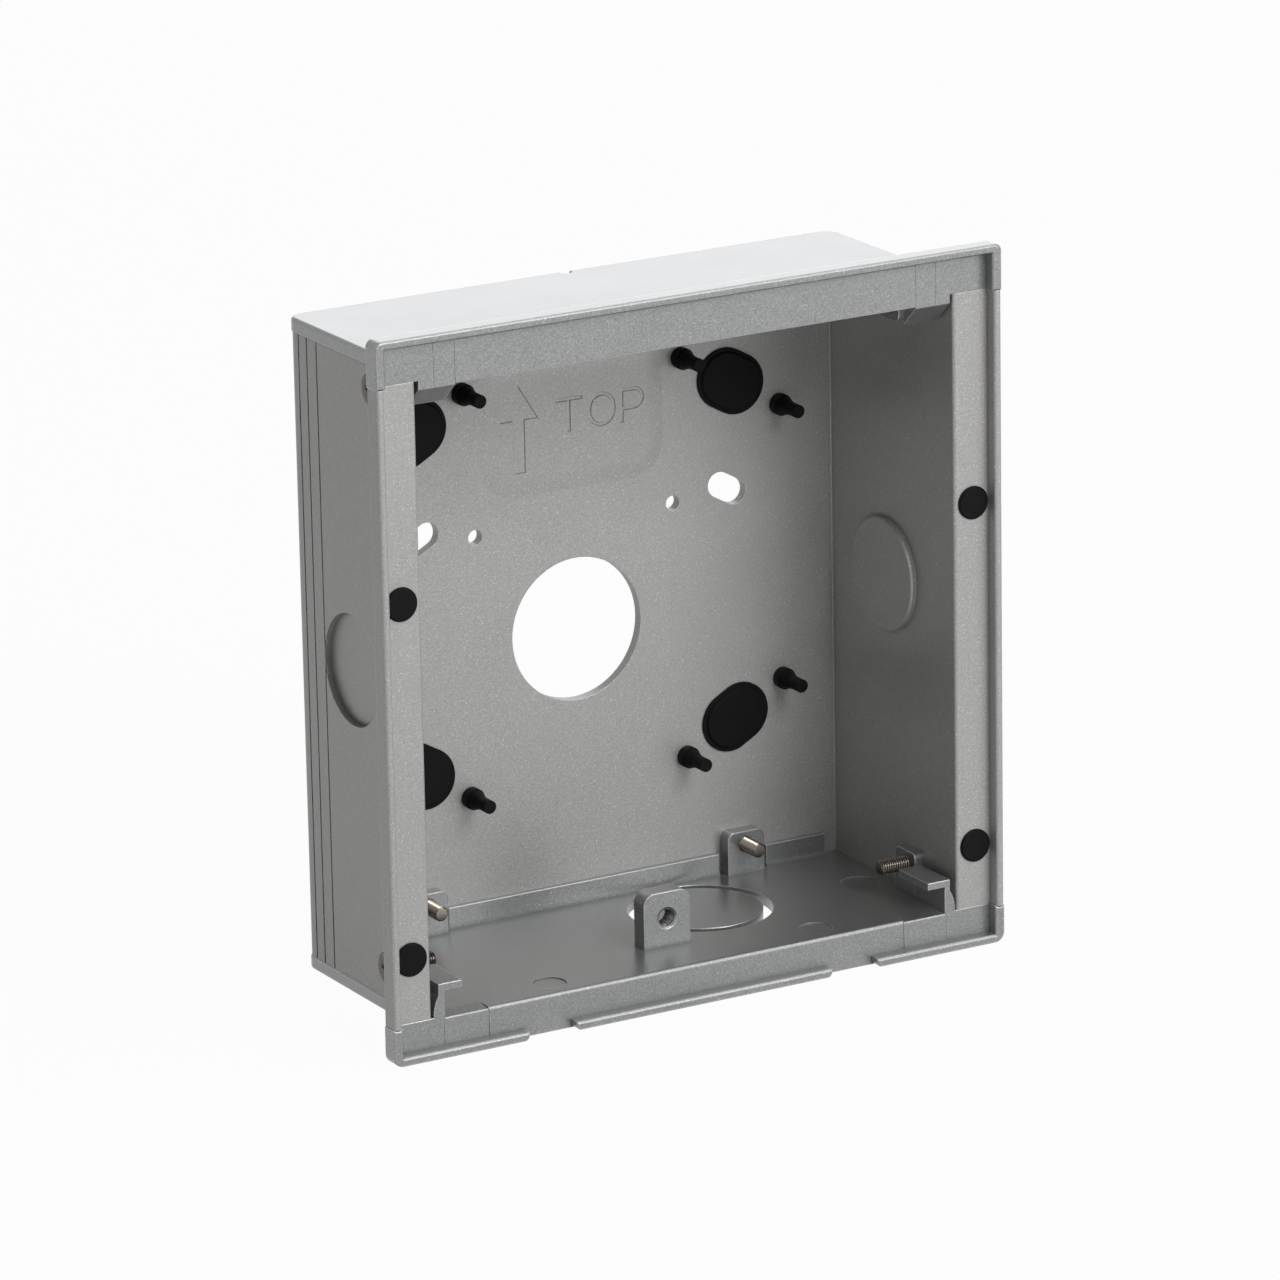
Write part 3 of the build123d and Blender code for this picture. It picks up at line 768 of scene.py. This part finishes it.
def screw_mesh(settings, head_radius, length):
    """Build a countersunk machine screw with its head's top at z = 0 and its shank along -Z."""
    mesh_data = bmesh.new()
    mesh_data.verts.layers.float.new(DARKENING_MASK)
    segments = settings.segments
    shank = settings.shank_radius
    edge = head_radius * HEAD_EDGE
    head_darkness = [HEAD_DARKNESS] * segments
    rim = add_ring(mesh_data, ring_points(head_radius - edge, 0.0, segments), head_darkness)
    recess = cross_outline(settings.recess_span, settings.recess_width, 0.0)
    # The head's top darkens towards the cross recess: painted shade at the recess's mouth
    mouth = add_ring(mesh_data, recess, [MOUTH_SHADE] * len(recess))
    bmesh.ops.triangle_fill(mesh_data, use_beauty=True, edges=ring_edges(mesh_data, (rim, mouth)))
    span, width = settings.recess_span * RECESS_FLOOR, settings.recess_width * RECESS_FLOOR
    recess = cross_outline(span, width, -settings.recess_depth)
    # The recess's walls and floor are fully darkened: painted shade
    deep = add_ring(mesh_data, recess, [1.0] * len(recess))
    join_rings(mesh_data, mouth, deep)
    mesh_data.faces.new(deep)

    previous = rim
    neck = shank - head_radius - edge
    for radius, height in ((head_radius, -edge), (shank, neck)):
        ring = add_ring(mesh_data, ring_points(radius, height, segments), head_darkness)
        join_rings(mesh_data, previous, ring)
        previous = ring
    chamfer = settings.thread_depth
    rows = round((length + neck) / settings.pitch * SCREW_ROWS)
    for row in range(1, rows + 1):
        height = neck - (length + neck) * row / rows
        taper_radius = shank - max(0.0, chamfer - (length + height))
        # Each ring is darkened by how deep in the thread each point lies: painted shade in the roots
        ring = add_ring(mesh_data, *thread_turn(
            shank, settings.thread_depth, height, settings.pitch, segments, taper_radius,
        ))
        join_rings(mesh_data, previous, ring)
        previous = ring
    mesh_data.faces.new(previous)
    return mesh_data


def outward(name):
    """Return the direction in which a screw's head faces, from its name."""
    if name.startswith("back"):
        return Vector((0, 1, 0))
    return Vector((-1, 0, 0)) if name.endswith("left") else Vector((1, 0, 0))


def add_threaded_screw(name, settings, material):
    """Replace one screw of the packed box with a threaded one in the same place."""
    low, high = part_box(name)
    facing = outward(name)
    size = high - low
    length = abs(size.dot(facing))
    head_radius = size.z / 2
    middle = (low + high) / 2
    head = middle + facing * length / 2
    turn = facing.to_track_quat("Z", "Y").to_matrix().to_4x4()
    mesh_data = screw_mesh(settings, head_radius, length)
    mesh_data.transform(Matrix.Translation(head) @ turn)
    piece = new_piece(f"{name}_threaded", mesh_data, material)
    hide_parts(name)


def tapped_mesh(settings):
    """Build the turns of the thread inside the centre tab's hole, whose axis is along Y."""
    mesh_data = bmesh.new()
    mesh_data.verts.layers.float.new(DARKENING_MASK)
    rows = round((settings.back - settings.front) / settings.pitch * TAPPED_ROWS)

    def upright(points):
        """Turn points around Z to lie around the hole's axis."""
        return [(x, depth, settings.height + y) for x, y, depth in points]

    sleeve_radius = settings.core_radius + settings.root
    sleeve = [
        add_ring(mesh_data, upright(ring_points(sleeve_radius, end, TAPPED_SEGMENTS)))
        for end in (settings.front, settings.back)
    ]
    previous = sleeve[0]
    for row in range(rows + 1):
        depth = settings.front + (settings.back - settings.front) * row / rows
        ridge = 0.0 if row in (0, rows) else settings.ridge
        points, roots = thread_turn(
            settings.core_radius - ridge, -ridge, depth, settings.pitch,
            TAPPED_SEGMENTS, settings.core_radius,
        )
        # Each ring is darkened by how deep in the thread each point lies: painted shade in the roots
        ring = add_ring(mesh_data, upright(points), roots)
        join_rings(mesh_data, previous, ring)
        previous = ring
    join_rings(mesh_data, previous, sleeve[1])
    join_rings(mesh_data, sleeve[1], sleeve[0])
    return mesh_data


def arc_points(centre, radius, start, end, steps=12):
    """Return points along part of a circle, from one angle to another in degrees."""
    points = []
    for step in range(steps + 1):
        angle = math.radians(start + (end - start) * step / steps)
        points.append((centre[0] + radius * math.cos(angle), centre[1] + radius * math.sin(angle)))
    return points


def rounded_box(low, high, radius):
    """Return the outline of a rectangle with round corners, counter-clockwise."""
    (left, foot), (right, head) = low, high
    outline = []
    for x, z, start in (
        (right - radius, foot + radius, -90), (right - radius, head - radius, 0),
        (left + radius, head - radius, 90), (left + radius, foot + radius, 180),
    ):
        outline += arc_points((x, z), radius, start, start + 90)
    return outline


def inset(outline, distance):
    """Move each side of a counter-clockwise outline inward by a distance."""
    moved = []
    count = len(outline)
    for index in range(count):
        before, here, after = (Vector(outline[(index + step) % count]) for step in (-1, 0, 1))
        first, second = (here - before).normalized(), (after - here).normalized()
        normal = Vector((-first.y - second.y, first.x + second.x))
        moved.append(tuple(here + normal * distance / (1 + first.dot(second))))
    return moved


def arrow_outline(settings):
    """Return the outline of the arrow that points up, counter-clockwise."""
    foot, tip = settings.arrow_foot, settings.arrow_tip
    left_side = [(-BARB_HALF, ARROW_NECK), (-SHAFT_HALF, ARROW_NECK), (-SHAFT_HALF, foot)]
    right_side = [(-x, z) for x, z in reversed(left_side)]
    return [(settings.arrow_x + x, z) for x, z in [(0.0, tip)] + left_side + right_side]


def letter_outlines(settings):
    """Return the outlines of the letters T, O and P, and of what stands inside the O and the P."""
    half = settings.stroke / 2
    foot = settings.letter_foot
    head = foot + settings.letter_height
    bar_left, bar_right, stem_t = -0.0041, 0.0021, -0.0010
    letter_t = [
        (bar_left - half, head + half), (bar_left - half, head - half), (stem_t - half, head - half),
        (stem_t - half, foot - half), (stem_t + half, foot - half), (stem_t + half, head - half),
        (bar_right + half, head - half), (bar_right + half, head + half),
    ]
    middle_o, bowl = 0.0075, 0.00315
    ovals = []
    for radius in (bowl + half, bowl - half):
        oval = arc_points((middle_o, head - bowl), radius, 0, 180)
        oval += arc_points((middle_o, foot + bowl), radius, 180, 360)
        ovals.append(oval)
    stem_p, shoulder, loop = 0.0127, 0.0159, 0.00215
    waist = head - 2 * loop
    letter_p = [
        (stem_p - half, foot - half), (stem_p + half, foot - half), (stem_p + half, waist - half),
        *arc_points((shoulder, head - loop), loop + half, -90, 90), (stem_p - half, head + half),
    ]
    eye_p = [
        (stem_p + half, waist + half),
        *arc_points((shoulder, head - loop), loop - half, -90, 90), (stem_p + half, head - half),
    ]
    return [letter_t, ovals[0], letter_p], [ovals[1], eye_p]


def marked_face_mesh(settings):
    """Build the thin face over the back wall in which the arrow and TOP are sunk.

    It stands proud of the wall by the marks' depth, runs out into the wall at its border, and is
    open where the marks are, so that their floor is the wall itself.
    """
    mesh_data = bmesh.new()
    front = settings.wall_depth - settings.sink
    level = settings.wall_depth + settings.root
    back = settings.wall_depth + settings.foot
    letters, eyes = letter_outlines(settings)
    border = rounded_box(*MARKED_AREA, MARKED_CORNER)

    # Walls in paint 1 get the marks' darker wall paint, which is painted shade
    def add_wall(rows, paint_index=1):
        """Join the outlines of these rows in turn, and return the first and the last ring."""
        rings = [add_ring(mesh_data, [(x, depth, z) for x, z in outline]) for outline, depth in rows]
        for first, second in zip(rings, rings[1:]):
            join_rings(mesh_data, first, second, paint_index)
        return rings[0], rings[-1]

    def side_wall(outline, draft):
        """Return the rows of a mark's side, which slopes down and goes straight on in the wall."""
        floor = inset(outline, draft)
        return [(outline, front), (floor, level), (floor, back)]

    run_out = []
    for step in range(FEATHER_STEPS + 1):
        share = step / FEATHER_STEPS
        fall = (1 - math.cos(math.pi * share)) / 2
        run_out.append((inset(border, -settings.feather * share), front + (level - front) * fall))
    run_out.append((run_out[-1][0], back))
    ends = [add_wall(run_out, paint_index=0)]
    for outline in [arrow_outline(settings)] + letters:
        ends.append(add_wall(side_wall(outline, settings.draft)))
    for rings in zip(*ends):
        edges = ring_edges(mesh_data, rings)
        bmesh.ops.triangle_fill(mesh_data, use_beauty=True, edges=edges, normal=(0.0, -1.0, 0.0))
    for outline in eyes:
        for ring in add_wall(side_wall(outline, -settings.draft)):
            mesh_data.faces.new(ring)
    return mesh_data


class BACKBOX_OT_paint_metal(bpy.types.Operator):
    """Paint the extruded body and the two cast caps"""

    bl_idname = "backbox.paint_metal"
    bl_label = "Paint the metal"

    def execute(self, context):
        finish = context.scene.back_box_finish
        paints = {
            "extrusion": metallic_paint(
                "extrusion_paint", finish.extrusion_colour, finish, finish.edge_round, **EXTRUSION_COAT,
            ),
            "casting": metallic_paint(
                "casting_paint", finish.casting_colour, finish, finish.casting_round, **CASTING_COAT,
            ),
        }
        for name, slot in METAL_SLOTS.items():
            dress(nodes[name], paints[slot])
        return {"FINISHED"}


class BACKBOX_OT_dress_rubber(bpy.types.Operator):
    """Give the plugs and pins their black rubber"""

    bl_idname = "backbox.dress_rubber"
    bl_label = "Dress the rubber"

    def execute(self, context):
        rubber = black_rubber(context.scene.back_box_finish)
        for name, node in nodes.items():
            if name.startswith(RUBBER_PREFIXES):
                dress(node, rubber)
        return {"FINISHED"}


class BACKBOX_OT_cut_screws(bpy.types.Operator):
    """Put threaded screws with a cross recess in place of the plain ones"""

    bl_idname = "backbox.cut_screws"
    bl_label = "Cut the screws"

    def execute(self, context):
        finish = context.scene.back_box_finish
        nickel = threaded_metal("nickel_plate", finish.nickel_colour, finish)
        settings = context.scene.back_box_screws
        for name in sorted(nodes):
            if name.startswith(SCREW_PREFIXES):
                add_threaded_screw(name, settings, nickel)
        return {"FINISHED"}


class BACKBOX_OT_tap_centre_tab(bpy.types.Operator):
    """Tap the hole in the centre tab on the floor"""

    bl_idname = "backbox.tap_centre_tab"
    bl_label = "Tap the centre tab"

    def execute(self, context):
        finish = context.scene.back_box_finish
        metal = threaded_metal("tapped_metal", finish.tapped_colour, finish)
        thread = tapped_mesh(context.scene.back_box_tapping)
        new_piece("centre_tab_thread", thread, metal)
        return {"FINISHED"}


class BACKBOX_OT_sink_marks(bpy.types.Operator):
    """Sink the arrow and the word TOP into the back wall"""

    bl_idname = "backbox.sink_marks"
    bl_label = "Sink the marks"

    def execute(self, context):
        finish = context.scene.back_box_finish
        marks = context.scene.back_box_marks
        paint = metallic_paint(
            "marked_face_paint", finish.extrusion_colour, finish, marks.edge_round, **EXTRUSION_COAT,
        )
        # Painted shade: the marks' side walls get a darker copy of the extrusion paint
        shaded = [share * (1 - marks.wall_shade) for share in finish.extrusion_colour]
        wall_paint = metallic_paint(
            "mark_wall_paint", shaded, finish, marks.edge_round, **EXTRUSION_COAT,
        )
        piece = new_piece(
            "marked_wall_face", marked_face_mesh(marks), paint, crease=math.radians(20),
        )
        piece.data.materials.append(wall_paint)
        return {"FINISHED"}


def background_rays(tree, mirrored):
    """Return a socket that is 1 for rays that should meet white, and this much for mirrored ones."""
    rays = put(tree, "ShaderNodeLightPath")
    glossy = put(tree, "ShaderNodeMath", {
        0: rays.outputs["Is Glossy Ray"], 1: mirrored,
    }, operation="MULTIPLY")
    either = put(tree, "ShaderNodeMath", {
        0: rays.outputs["Is Camera Ray"], 1: glossy.outputs[0],
    }, operation="MAXIMUM")
    return put(tree, "ShaderNodeMath", {
        0: either.outputs[0], 1: rays.outputs["Is Transmission Ray"],
    }, operation="MAXIMUM").outputs[0]


def make_floor(stage):
    """Lay a pale floor under the box, which shows white where no shadow falls."""
    mesh_data = bmesh.new()
    signs = ((-1, -1), (1, -1), (1, 1), (-1, 1))
    corners = [(FLOOR_HALF * x, FLOOR_HALF * y, cad_low.z) for x, y in signs]
    mesh_data.faces.new(add_ring(mesh_data, corners))
    mesh = bpy.data.meshes.new("floor")
    mesh_data.to_mesh(mesh)
    mesh_data.free()
    floor = bpy.data.objects.new("floor", mesh)
    bpy.context.scene.collection.objects.link(floor)
    material, tree, shader = new_material("floor_white")
    shader.inputs["Base Color"].default_value = FLOOR_COLOUR
    shader.inputs["Roughness"].default_value = FLOOR_ROUGHNESS
    glow = put(tree, "ShaderNodeEmission", {"Color": (*WHITE, 1.0), "Strength": 1.0})
    share = put(tree, "ShaderNodeMath", {
        0: background_rays(tree, stage.mirrored_room), 1: FLOOR_GLOW,
    }, operation="MULTIPLY")
    mixed = put(tree, "ShaderNodeMixShader", {
        0: share.outputs[0], 1: shader.outputs["BSDF"], 2: glow.outputs["Emission"],
    })
    surface = next(node for node in tree.nodes if node.type == "OUTPUT_MATERIAL")
    tree.links.new(mixed.outputs[0], surface.inputs["Surface"])
    dress(floor, material)


def light_room(stage):
    """Set an even pale room that shows white behind the box."""
    world = bpy.data.worlds.new("pale_room")
    bpy.context.scene.world = world
    world.use_nodes = True
    tree = world.node_tree
    tree.nodes.clear()
    strength = put(tree, "ShaderNodeMapRange", {
        "Value": background_rays(tree, stage.mirrored_room), "To Min": stage.room_light, "To Max": 1.0,
    })
    room = put(tree, "ShaderNodeBackground", {
        "Color": (*WHITE, 1.0), "Strength": strength.outputs[0],
    })
    surface = put(tree, "ShaderNodeOutputWorld")
    tree.links.new(room.outputs["Background"], surface.inputs["Surface"])


def hang_lamp(name, place, size, power, colour):
    """Hang a softbox that faces the middle of the box."""
    lamp = bpy.data.lights.new(name, "AREA")
    lamp.color = colour
    lamp.shape = "SQUARE"
    lamp.size = size
    lamp.energy = power
    hung = bpy.data.objects.new(name, lamp)
    bpy.context.scene.collection.objects.link(hung)
    toward = Vector(LIT_SPOT) - Vector(place)
    hung.matrix_world = Matrix.Translation(place) @ toward.to_track_quat("-Z", "Y").to_matrix().to_4x4()


def set_camera(stage):
    """Stand the camera at the photograph's viewing angle, looking down into the box from its left."""
    forward = Vector((
        math.sin(stage.heading) * math.cos(stage.dip),
        math.cos(stage.heading) * math.cos(stage.dip),
        -math.sin(stage.dip),
    ))
    level_right = Vector((math.cos(stage.heading), -math.sin(stage.heading), 0.0))
    level_up = level_right.cross(forward)
    right = level_right * math.cos(stage.roll) + level_up * math.sin(stage.roll)
    up = level_up * math.cos(stage.roll) - level_right * math.sin(stage.roll)
    place = right * stage.aim_right + up * stage.aim_up - forward * stage.distance
    axes = Matrix((right, up, -forward)).transposed().to_4x4()
    data = bpy.data.cameras.new("camera")
    data.lens = stage.lens
    data.sensor_width = 36.0
    data.clip_end = 20.0
    camera = bpy.data.objects.new("camera", data)
    camera.matrix_world = Matrix.Translation(place) @ axes
    bpy.context.scene.collection.objects.link(camera)
    bpy.context.scene.camera = camera


class BACKBOX_OT_set_stage(bpy.types.Operator):
    """Set the camera, the floor, the room and the softboxes"""

    bl_idname = "backbox.set_stage"
    bl_label = "Set the stage"

    def execute(self, context):
        stage = context.scene.back_box_stage
        context.scene.view_settings.view_transform = "Standard"
        set_camera(stage)
        make_floor(stage)
        light_room(stage)
        for name, place, size, power, colour in SOFTBOXES:
            hang_lamp(name, place, size, getattr(stage, power), colour)
        return {"FINISHED"}


STEPS = (
    BACKBOX_OT_paint_metal,
    BACKBOX_OT_dress_rubber,
    BACKBOX_OT_cut_screws,
    BACKBOX_OT_tap_centre_tab,
    BACKBOX_OT_sink_marks,
    BACKBOX_OT_set_stage,
)
SETTINGS = {
    "back_box_finish": BackBoxFinish,
    "back_box_screws": BackBoxScrews,
    "back_box_tapping": BackBoxTapping,
    "back_box_marks": BackBoxMarks,
    "back_box_stage": BackBoxStage,
}


class BACKBOX_PT_panel(bpy.types.Panel):
    """Lists the steps and their settings"""

    bl_idname = "BACKBOX_PT_panel"
    bl_label = "Flush back box"
    bl_space_type = "VIEW_3D"
    bl_region_type = "UI"
    bl_category = "Back box"

    def draw(self, context):
        layout = self.layout
        for step in STEPS:
            layout.operator(step.bl_idname)
        for name, group in SETTINGS.items():
            box = layout.box()
            box.label(text=group.__doc__)
            settings = getattr(context.scene, name)
            for setting in group.__annotations__:
                box.prop(settings, setting)


def register():
    """Register the settings, the steps and the panel."""
    for group in SETTINGS.values():
        bpy.utils.register_class(group)
    for step in STEPS:
        bpy.utils.register_class(step)
    bpy.utils.register_class(BACKBOX_PT_panel)
    for name, group in SETTINGS.items():
        setattr(bpy.types.Scene, name, PointerProperty(type=group))


def unregister():
    """Take the settings, the steps and the panel out again."""
    for name in SETTINGS:
        delattr(bpy.types.Scene, name)
    bpy.utils.unregister_class(BACKBOX_PT_panel)
    for step in reversed(STEPS):
        bpy.utils.unregister_class(step)
    for group in reversed(SETTINGS.values()):
        bpy.utils.unregister_class(group)


def main():
    """Register the settings, the steps and the panel, dress the box and set the stage."""
    register()
    bpy.ops.backbox.paint_metal()
    bpy.ops.backbox.dress_rubber()
    bpy.ops.backbox.cut_screws()
    bpy.ops.backbox.tap_centre_tab()
    bpy.ops.backbox.sink_marks()
    bpy.ops.backbox.set_stage()


if __name__ == "__main__":
    main()
